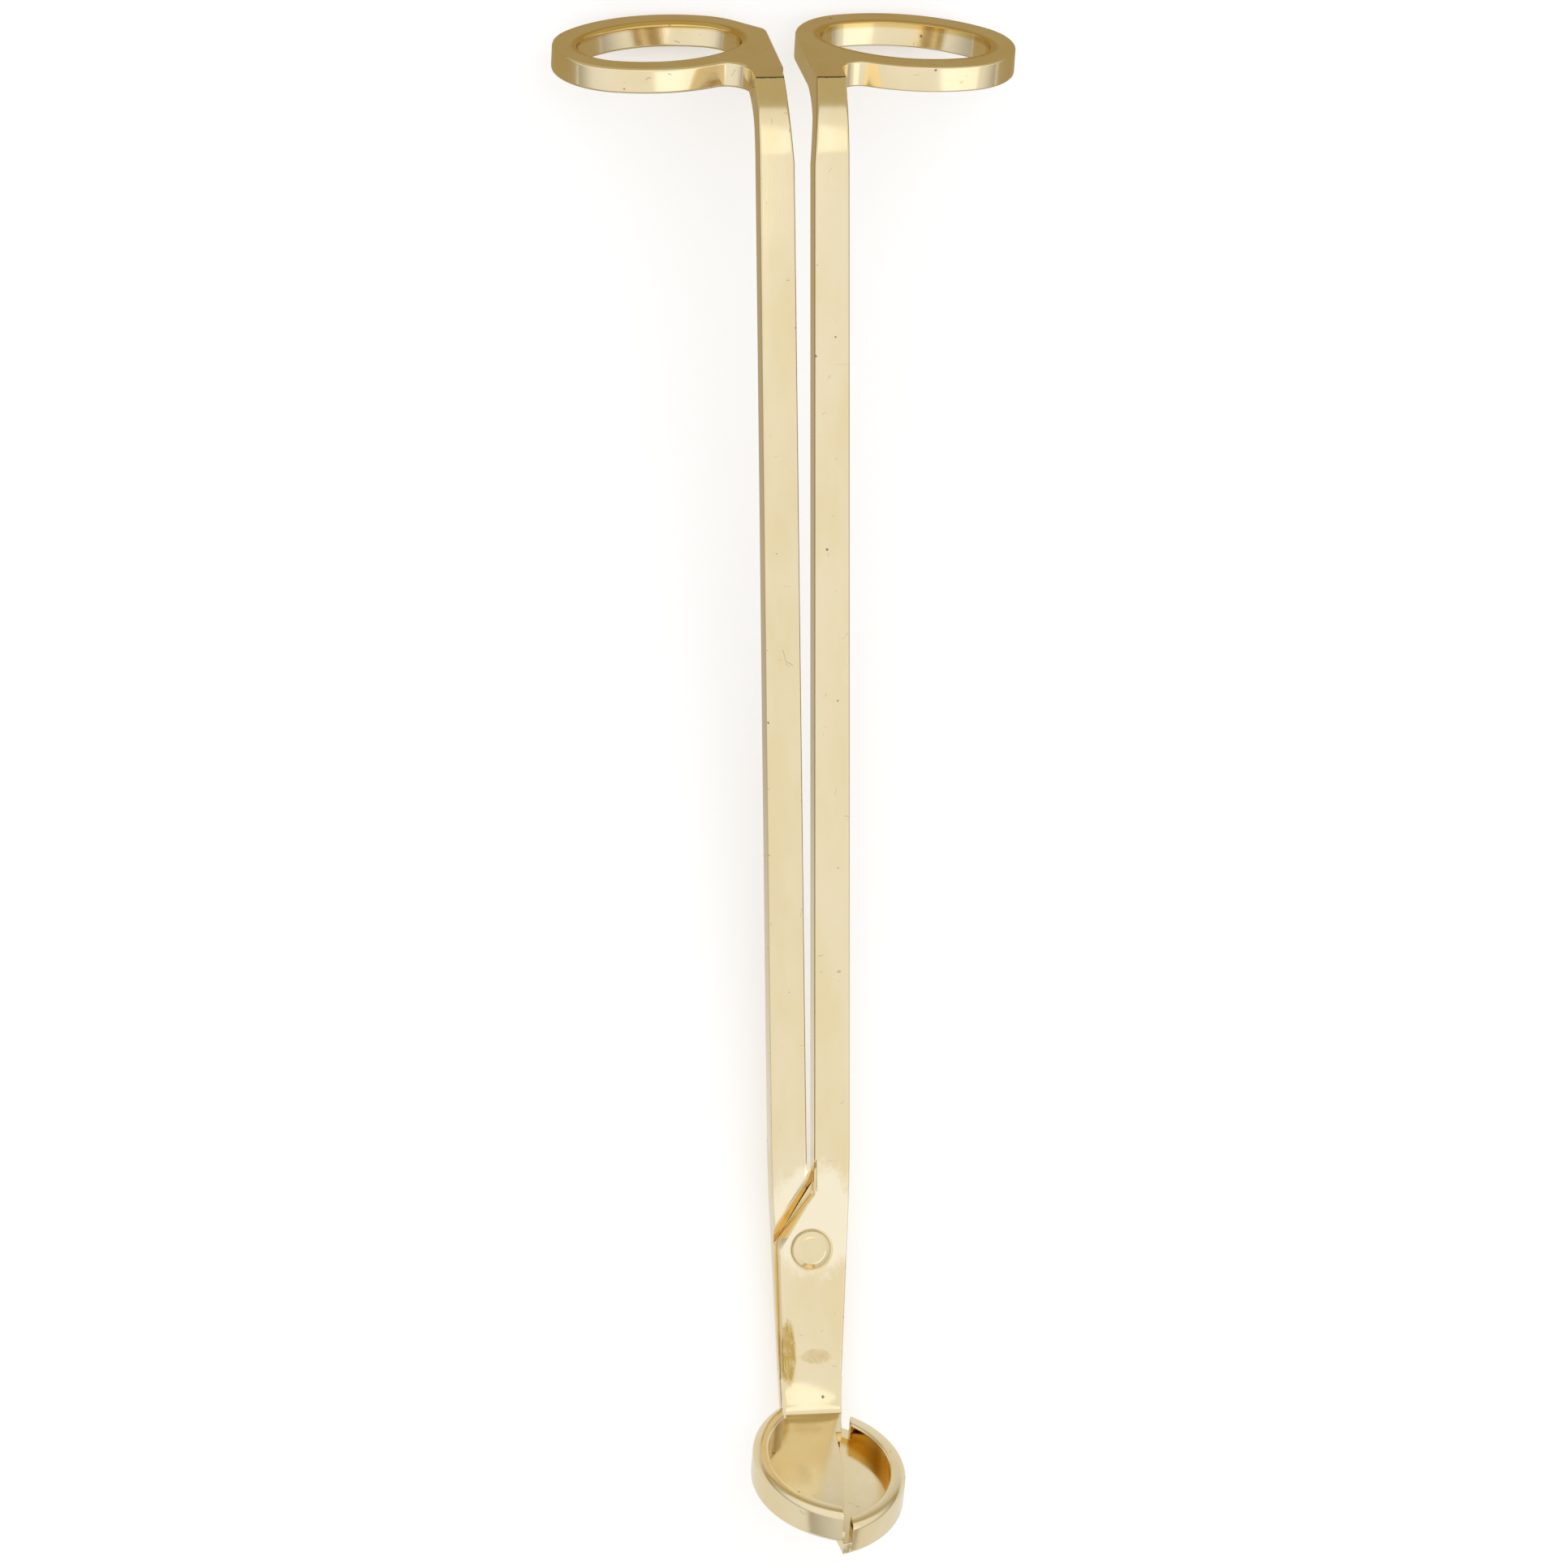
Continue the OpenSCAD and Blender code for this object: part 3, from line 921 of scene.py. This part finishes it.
# %% Group: pits and specks
def build_specks():
    group, knob, result = new_group("pits_and_specks", Scale=900.0, Rarity=0.9, Size=0.16)
    ragged = noise_node(group, knob["Vector"], 5200.0, 2, 0.6)
    cells = group.nodes.new("ShaderNodeTexVoronoi")
    group.links.new(knob["Vector"], cells.inputs["Vector"])
    group.links.new(knob["Scale"], cells.inputs["Scale"])
    parts = group.nodes.new("ShaderNodeSeparateColor")
    group.links.new(cells.outputs["Color"], parts.inputs["Color"])
    kept = math_node(group, "GREATER_THAN", parts.outputs["Red"], knob["Rarity"])
    reach = times(group, knob["Size"], plus(group, parts.outputs["Green"], 0.35))
    edge = plus(group, cells.outputs["Distance"], sway(group, ragged, 0.25))
    inside = math_node(group, "DIVIDE", minus(group, reach, edge), 0.05, clamp=True)
    group.links.new(times(group, inside, kept), result)
    return group


specks = build_specks()

# %% [markdown]
# Hairlines are thin, slightly curved and broken. A line where slow noise crosses its middle value
# is just that, and a second noise breaks it into short strokes. Two sets cross each other.

# %% Group: hairline scratches
def build_hairlines():
    group, knob, result = new_group("hairlines", Width=0.004, Breaks=0.62)
    place = knob["Vector"]
    strokes = []
    for scale, turn in (((260, 90, 260), (0.3, 0.2, 0.5)), ((80, 300, 180), (0.1, 0.4, -0.7))):
        field = noise_node(group, stretch(group, place, scale, turn), 1.0, 1, 0.4, 0.2)
        near = math_node(group, "ABSOLUTE", minus(group, field, 0.5))
        line = math_node(group, "LESS_THAN", near, knob["Width"])
        gate = noise_node(group, stretch(group, place, (700, 420, 700), turn), 1.0, 2, 0.5)
        whole = math_node(group, "GREATER_THAN", gate, knob["Breaks"])
        strokes.append(times(group, line, whole))
    group.links.new(math_node(group, "MAXIMUM", *strokes), result)
    return group


hairlines = build_hairlines()

# %% [markdown]
# Where the shank is folded back into the ring, a thin dark line of painted shade runs along the
# crease, uneven like a pencil line. The group measures how far a point is from that line in the
# side view. The line lies where the curved shank top meets the ring plate, laid down like every
# piece.

# %% Group: painted shade along the crease
crease = lay_down @ Vector((0, SHANK_LONG, -TOP_DROP))


def build_crease():
    group, knob, result = new_group("crease_shade_line", Width=0.00009)
    parts = split(group, knob["Vector"])
    squeezed = stretch(group, knob["Vector"], (1500, 300, 300))
    uneven = sway(group, noise_node(group, squeezed, 1.0, 3, 0.6), 0.0003)
    along = minus(group, plus(group, parts["Y"], uneven), crease.y)
    above = minus(group, parts["Z"], crease.z)
    far = math_node(group, "SQRT", sum_of_squares(group, along, above))
    ratio = math_node(group, "DIVIDE", far, knob["Width"])
    group.links.new(fade(group, ratio, 0.6, 1.6, from_high=True), result)
    return group


crease_shade_line = build_crease()
print("crease, metres:", [round(value, 4) for value in crease])

# %% [markdown]
# On the neck, close to the bend, the plating is thin and grainy in two small patches, where the
# tool that folds the neck has pressed. The group fades in a soft-edged ellipse and fills it with
# grain.

# %% Group: pressed patches on the neck
PATCHES = (  # centre, half-width and half-length in millimetres, strength
    ((-2.85, -12.3, 0), (0.95, 4.0), 1.0),
    ((0.4, -12.7, 0), (2.0, 0.9), 0.42),
)


def build_pressed():
    group, knob, result = new_group("pressed_patch", Grain=1.0)
    place = knob["Vector"]
    grain = noise_node(group, stretch(group, place, (5200, 1300, 3000)), 1.0, 4, 0.75)
    slow = noise_node(group, stretch(group, place, (900, 420, 900)), 1.0, 3, 0.6)
    ragged = sway(group, slow, 1.3)
    masks = []
    for centre, reach, amount in PATCHES:
        spot, parts = lay_down @ Vector(centre), split(group, place)
        dx = times(group, minus(group, parts["X"], spot.x), PER_METRE / reach[0])
        dy = times(group, minus(group, parts["Y"], spot.y), PER_METRE / reach[1])
        far = plus(group, sum_of_squares(group, dx, dy), ragged)
        masks.append(times(group, fade(group, far, 0.45, 1.25, from_high=True), amount))
    total = math_node(group, "MAXIMUM", *masks)
    speckle = times(group, fade(group, grain, 0.38, 0.64), knob["Grain"])
    group.links.new(times(group, total, plus(group, speckle, 0.6), clamp=True), result)
    return group


pressed_patch = build_pressed()

# %% [markdown]
# Light that bounces twice between gold faces comes out a deeper yellow, so a deep gold is painted
# inside the tray wall as shade. The group turns a point into the drawing plane of the tray,
# measures its distance from the centre of the wall's arc, and fades in the painted shade just
# inside the wall and below its rim. The rear arm is a mirror image, so a knob named Side changes
# the sign of x.

# %% Group: painted deep-gold shade inside the tray wall
def laid(matrix, direction):
    return (lay_down.to_3x3() @ matrix.to_3x3() @ Vector(direction)).normalized()


def along_axis(tree, vector, axis):
    return vector_node(tree, "DOT_PRODUCT", vector, axis)


def build_recess():
    group, knob, result = new_group("tray_recess_shade", Side=1.0, Floor_Height=0.0)
    local = vector_node(group, "SUBTRACT", knob["Vector"], (lay_down @ on_tray).translation)
    x = times(group, along_axis(group, local, (PER_METRE, 0, 0)), knob["Side"])
    s = along_axis(group, local, laid(on_tray, (0, 1, 0)) * PER_METRE)
    h = along_axis(group, local, laid(on_tray, (0, 0, 1)) * PER_METRE)
    h = minus(group, h, knob["Floor Height"])
    from_centre = sum_of_squares(group, minus(group, x, LEAF_OFF), minus(group, s, LEAF_MID))
    radius = math_node(group, "SQRT", from_centre)
    mask = times(
        group, fade(group, radius, WALL_R - 1.7, WALL_R - 0.5),
        fade(group, radius, WALL_R + 0.03, WALL_R + 0.25, from_high=True),
    )
    below_rim = fade(group, h, WALL_HIGH - 0.5, WALL_HIGH - 0.05, from_high=True)
    above_floor = fade(group, h, -0.3, -0.1)
    toward_neck = fade(group, s, 9, 19, from_high=True)
    beyond_neck = fade(group, x, -1.0, -2.2)
    for limit in (below_rim, above_floor, toward_neck, beyond_neck):
        mask = times(group, mask, limit)
    group.links.new(mask, result)
    return group


tray_recess_shade = build_recess()

# %% [markdown]
# The rounded lip of each finger opening gets the same painted deep-gold shade. Its group works in
# the drawing plane of the ring, where the opening is nearly an ellipse: a point on the lip has an
# ellipse value close to one and lies close under the top of the plate.

# %% Group: painted deep-gold shade on the lip of the finger opening
def build_lip():
    group, knob, result = new_group("ring_lip_shade", Side=1.0)
    turn = math.radians(OVAL_TURN)
    parts = split(group, knob["Vector"])
    flip = group.nodes.new("ShaderNodeCombineXYZ")
    group.links.new(times(group, parts["X"], knob["Side"]), flip.inputs["X"])
    group.links.new(parts["Y"], flip.inputs["Y"])
    group.links.new(parts["Z"], flip.inputs["Z"])
    centre = lay_down @ on_ring @ Vector((OVAL_X, OVAL_V, 0))
    local = vector_node(group, "SUBTRACT", flip.outputs["Vector"], centre)
    long_way = laid(on_ring, (math.cos(turn), -math.sin(turn), 0))
    short_way = laid(on_ring, (math.sin(turn), math.cos(turn), 0))
    along = along_axis(group, local, long_way * PER_METRE / OVAL_LONG)
    aside = along_axis(group, local, short_way * PER_METRE / OVAL_SHORT)
    h = along_axis(group, local, laid(on_ring, (0, 0, 1)) * PER_METRE)
    ellipse = math_node(group, "SQRT", sum_of_squares(group, along, aside))
    on_lip = fade(group, ellipse, 1.06, 1.12, from_high=True)
    group.links.new(times(group, on_lip, fade(group, h, -1.0, -0.5)), result)
    return group


ring_lip_shade = build_lip()

# %% [markdown]
# Round the rivet the plate was buffed again after riveting, so it shines paler there, with a
# ragged edge. The group takes the centre and the reach of such a zone.

# %% Group: buffed zone
def build_buffed():
    group, knob, result = new_group("buffed_zone", Centre=None, Reach=None)
    away = vector_node(group, "SUBTRACT", knob["Vector"], knob["Centre"])
    far = vector_node(group, "LENGTH", vector_node(group, "DIVIDE", away, knob["Reach"]))
    squeezed = stretch(group, knob["Vector"], (700, 420, 700))
    ragged = sway(group, noise_node(group, squeezed, 1.0, 4, 0.65), 0.7)
    group.links.new(fade(group, plus(group, far, ragged), 0.7, 1.05, from_high=True), result)
    return group


buffed_zone = build_buffed()

# %% [markdown]
# Down in the groove between the two lap plates light bounces between gold faces, so a deep gold is
# painted there as shade. This group measures how far a point lies below the front faces near the
# rivet.

# %% Group: painted deep-gold shade between the lap plates
def build_lap_shade():
    group, knob, result = new_group("lap_shade", Depth=0.6)
    flat = Matrix.Identity(4)
    local = vector_node(group, "SUBTRACT", knob["Vector"], lay_down.translation)
    below = along_axis(group, local, laid(flat, (0, 0, 1)) * -PER_METRE)
    depth = math_node(group, "DIVIDE", below, knob["Depth"])
    along = along_axis(group, local, laid(flat, (0, 1, 0)) * PER_METRE)
    near = math_node(group, "ABSOLUTE", plus(group, along, 1.5))
    group.links.new(times(
        group, fade(group, depth, 0.15, 1.0), fade(group, near, 12, 15, from_high=True)
    ), result)
    return group


lap_shade = build_lap_shade()

# %% [markdown]
# One function builds the plating of each part from those groups. The gold itself is metallic with
# a low roughness that drifts a little, because plating is never evenly bright. The faults darken
# the colour, raise the roughness and dent the surface through a Bump node. The tints lie over one
# another like coats of varnish, so they are kept in a list, with a mask, a strength and a colour
# for each, and are mixed in that order.

# %% Helpers for the material
def new_material(name):
    material = bpy.data.materials.new(name)
    material.use_nodes = True
    return material, material.node_tree


def mix_colour(tree, mask, first, second):
    node = tree.nodes.new("ShaderNodeMix")
    node.data_type = "RGBA"
    tree.links.new(mask, node.inputs["Factor"])
    for index, colour in ((6, first), (7, second)):
        give(tree, (*colour, 1) if isinstance(colour, tuple) else colour, node.inputs[index])
    return node.outputs[2]


def use_group(tree, group, place, **values):
    node = tree.nodes.new("ShaderNodeGroup")
    node.node_tree = group
    tree.links.new(place, node.inputs["Vector"])
    for label, value in values.items():
        node.inputs[label.replace("_", " ")].default_value = value
    return node.outputs[0]


# %% Tints of an arm
# The groove, lip and corner golds are painted deep-gold shade, where light bounces between gold
# faces.
PALE_GOLD, GROOVE_SHADE_GOLD, LIP_SHADE_GOLD = (1.0, 0.90, 0.68), (0.74, 0.53, 0.18), (0.72, 0.47, 0.09)
CORNER_SHADE_GOLD, THIN_GOLD = (0.66, 0.38, 0.035), (0.53, 0.33, 0.05)
# The specks and scratches are real marks; the last colour is painted shade along the crease.
SPECK, SCRATCH, CREASE_SHADE = (0.12, 0.08, 0.04), (0.30, 0.22, 0.10), (0.05, 0.03, 0.015)


def arm_tints(tree, place, side, floor_h, amount):
    zone = use_group(tree, buffed_zone, place, Centre=lay_down @ Vector((0.4, 3.6, 0)),
                     Reach=(0.0062, 0.0072, 0.02))
    # painted deep-gold shade down in the groove between the lap plates
    below = use_group(tree, lap_shade, place, Depth=0.45)
    # painted deep-gold shade on the rounded lip of each finger opening
    lip_shade = use_group(tree, ring_lip_shade, place, Side=side)
    # painted deep-gold shade in the corner inside the tray wall
    corner_shade = use_group(tree, tray_recess_shade, place, Side=side, Floor_Height=floor_h)
    return [(zone, 0.95, PALE_GOLD), (below, 0.55, GROOVE_SHADE_GOLD), (lip_shade, 0.7, LIP_SHADE_GOLD),
            (corner_shade, amount, CORNER_SHADE_GOLD)]


# %% Plating material
def plating(name, gold, deep_gold, lines, waves, rarity, pressed=False, tray=None):
    material, tree = new_material(name)
    shader = tree.nodes["Principled BSDF"]
    shader.inputs["Metallic"].default_value = 1
    place = tree.nodes.new("ShaderNodeTexCoord").outputs["Object"]
    polish = use_group(tree, polish_lines, place, Lines=lines, Waves=waves)
    fine = use_group(tree, specks, place, Scale=850, Rarity=rarity, Size=0.14)
    large = use_group(tree, specks, place, Scale=330, Rarity=0.965, Size=0.10)
    hair = use_group(tree, hairlines, place, Width=0.003, Breaks=0.66)
    # painted shade along the crease where the shank folds into the ring
    crease_shade = use_group(tree, crease_shade_line, place, Width=0.00013)
    dots = math_node(tree, "MAXIMUM", fine, large)

    drift = noise_node(tree, stretch(tree, place, (160, 60, 160)), 1.0, 3, 0.55)
    cloud = noise_node(tree, place, 900.0, 4, 0.6)
    roughness = plus(tree, times(tree, cloud, 0.09), 0.045)
    roughness = plus(tree, roughness, times(tree, drift, 0.06))
    tints = [(dots, 0.75, SPECK), (hair, 0.45, SCRATCH)]
    if tray:
        tints += arm_tints(tree, place, *tray)
    if pressed:
        patch = use_group(tree, pressed_patch, place, Grain=0.75)
        tints.append((patch, 0.85, THIN_GOLD))
        roughness = plus(tree, roughness, times(tree, patch, 0.12))
    tints.append((crease_shade, 0.85, CREASE_SHADE))
    faults = math_node(tree, "MAXIMUM", dots, hair)
    roughness = plus(tree, roughness, times(tree, faults, 0.3), clamp=True)
    colour = mix_colour(tree, fade(tree, drift, 0.35, 0.7), gold, deep_gold)
    for mask, amount, shade in tints:
        colour = mix_colour(tree, times(tree, mask, amount), colour, shade)
    tree.links.new(colour, shader.inputs["Base Color"])
    tree.links.new(roughness, shader.inputs["Roughness"])

    bump = tree.nodes.new("ShaderNodeBump")
    bump.inputs["Strength"].default_value = 1.0
    bump.inputs["Distance"].default_value = 0.00001
    tree.links.new(minus(tree, polish, times(tree, dots, 0.35)), bump.inputs["Height"])
    tree.links.new(bump.outputs["Normal"], shader.inputs["Normal"])
    print(name, "has", len(tints), "tints and", len(tree.nodes), "nodes")
    return material


# %% [markdown]
# No two plated parts come out quite alike, so each gets its own shade. Only the front arm has the
# pressed patches. The corner inside the rear arm's wall is deep gold, and the front arm's is barely
# tinted, because light falls into it.

# %% Plate the parts
front_arm.data.materials.append(plating(
    "gold_plating_front_arm", (0.89, 0.77, 0.52), (0.86, 0.72, 0.44), 0.25, 9.0, 0.94,
    pressed=True, tray=(1.0, 0.0, 0.12)))
rear_arm.data.materials.append(plating(
    "gold_plating_rear_arm", (0.88, 0.76, 0.51), (0.85, 0.71, 0.43), 0.25, 9.0, 0.93,
    tray=(-1.0, REAR_FLOOR, 0.9)))
rivet.data.materials.append(plating(
    "gold_plating_rivet", (0.89, 0.77, 0.52), (0.85, 0.71, 0.43), 0.4, 14.0, 0.92))

# %% [markdown]
# ## The studio
# The floor is a plain sheet of white paper. A mirror finish shows whatever surrounds it, so the
# paper that the camera sees is bright and the paper that the metal sees is a warm mid tone, as if
# dark cards stood just outside the frame. Without that tone the sides of the bars would vanish
# into white.

# %% The floor
floor_mesh = bmesh.new()
bmesh.ops.create_grid(floor_mesh, x_segments=8, y_segments=8, size=1.5)
floor = as_object(floor_mesh, "floor")
floor_mesh.free()


def white_paper():
    material, tree = new_material("white_paper")
    tree.nodes.clear()
    out, seen, path, card, shades, paper, sheet, glow = (
        tree.nodes.new("ShaderNode" + kind) for kind in (
            "OutputMaterial", "MixShader", "LightPath", "Emission", "ValToRGB", "AddShader",
            "BsdfDiffuse", "Emission",
        )
    )
    parts = split(tree, tree.nodes.new("ShaderNodeTexCoord").outputs["Object"])
    span = times(tree, plus(tree, parts["Y"], 0.12), 3.6)
    stops = shades.color_ramp.elements
    stops[0].position, stops[0].color = 0.27, (0.83, 0.82, 0.80, 1)
    stops[1].position, stops[1].color = 0.74, (0.43, 0.335, 0.17, 1)
    stops.new(0.45).color = (0.52, 0.48, 0.41, 1)
    sheet.inputs["Color"].default_value = (0.80, 0.80, 0.80, 1)
    glow.inputs["Strength"].default_value = 0.36
    for source, socket in (
        (span, shades.inputs["Fac"]), (shades.outputs["Color"], card.inputs["Color"]),
        (sheet.outputs[0], paper.inputs[0]), (glow.outputs[0], paper.inputs[1]),
        (path.outputs["Is Camera Ray"], seen.inputs[0]), (card.outputs[0], seen.inputs[1]),
        (paper.outputs[0], seen.inputs[2]), (seen.outputs[0], out.inputs["Surface"]),
    ):
        tree.links.new(source, socket)
    return material


floor.data.materials.append(white_paper())

# %% [markdown]
# The light is soft and comes from everywhere above: a pale sky that is darker near the horizon,
# one panel overhead, and a wider one to the right, beyond the tray, that draws the bright bands on
# the rings. A lamp adds its light to the sky behind it, so a little is enough.

# %% Lamps
def soft_light(name, place, size, power):
    lamp = bpy.data.lights.new(name, "AREA")
    lamp.shape, lamp.size, lamp.size_y = "RECTANGLE", size[0], size[1]
    lamp.energy = power
    thing = new_object(name, lamp)
    thing.location = place
    thing.rotation_mode = "QUATERNION"
    thing.rotation_quaternion = (-Vector(place)).to_track_quat("-Z", "Y")
    print(name, "hangs", round(thing.location.length, 2), "m away")


soft_light("overhead", (0.10, 0.145, 1.3), (0.45, 0.5), 0.2)
soft_light("band_light", (0.72, -0.78, 0.87), (0.9, 0.5), 0.5)

# %% [markdown]
# A folded card stands behind the rings and gives the curved shank tops their olive tone. Only
# mirrors see it: it is hidden from the camera, casts no shadow and lights nothing else.

# %% The folded card
CARD_WIDE = 0.4


def dark_card():
    bm = bmesh.new()
    tip = start_outline(bm, 0.172, 0)
    line_through(bm, tip, (0.172, 0.05), (0.164, 0.075), (0.15, 0.084), (0.104, 0.084))
    wide = bmesh.ops.extrude_edge_only(bm, edges=bm.edges[:])["geom"]
    bmesh.ops.translate(bm, verts=only_verts(wide), vec=(0, 0, CARD_WIDE))
    shift(bm, 0, 0, -CARD_WIDE / 2)
    bmesh.ops.transform(bm, matrix=across, verts=bm.verts[:])
    card = as_object(bm, "dark_card")
    bm.free()
    card.visible_camera = card.visible_diffuse = card.visible_shadow = False
    card.visible_transmission = card.visible_volume_scatter = False
    material, tree = new_material("warm_card")
    shader = tree.nodes["Principled BSDF"]
    shader.inputs["Base Color"].default_value = (0.02, 0.02, 0.02, 1)
    shader.inputs["Emission Color"].default_value = (0.50, 0.44, 0.27, 1)
    shader.inputs["Emission Strength"].default_value = 1.0
    card.data.materials.append(material)
    print("card faces:", len(card.data.polygons))


dark_card()

# %% [markdown]
# The sky is a colour ramp over height, warm and dim at the horizon and nearly white above.

# %% The sky
def make_sky():
    world = bpy.data.worlds.new("studio")
    bpy.context.scene.world = world
    world.use_nodes = True
    tree = world.node_tree
    ramp = tree.nodes.new("ShaderNodeValToRGB")
    parts = split(tree, tree.nodes.new("ShaderNodeTexCoord").outputs["Generated"])
    tree.links.new(parts["Z"], ramp.inputs["Fac"])
    stops = ramp.color_ramp.elements
    stops[0].position, stops[0].color = 0.0, (0.42, 0.38, 0.32, 1)
    stops[1].position, stops[1].color = 1.0, (0.93, 0.93, 0.93, 1)
    for position, shade in ((0.12, 0.55), (0.35, 0.86), (0.7, 0.95)):
        stops.new(position).color = (shade, shade, shade, 1)
    tree.links.new(ramp.outputs["Color"], tree.nodes["Background"].inputs["Color"])
    tree.nodes["Background"].inputs["Strength"].default_value = 1.0
    print("sky stops:", len(stops))


make_sky()
bpy.context.scene.view_settings.view_transform = "Standard"
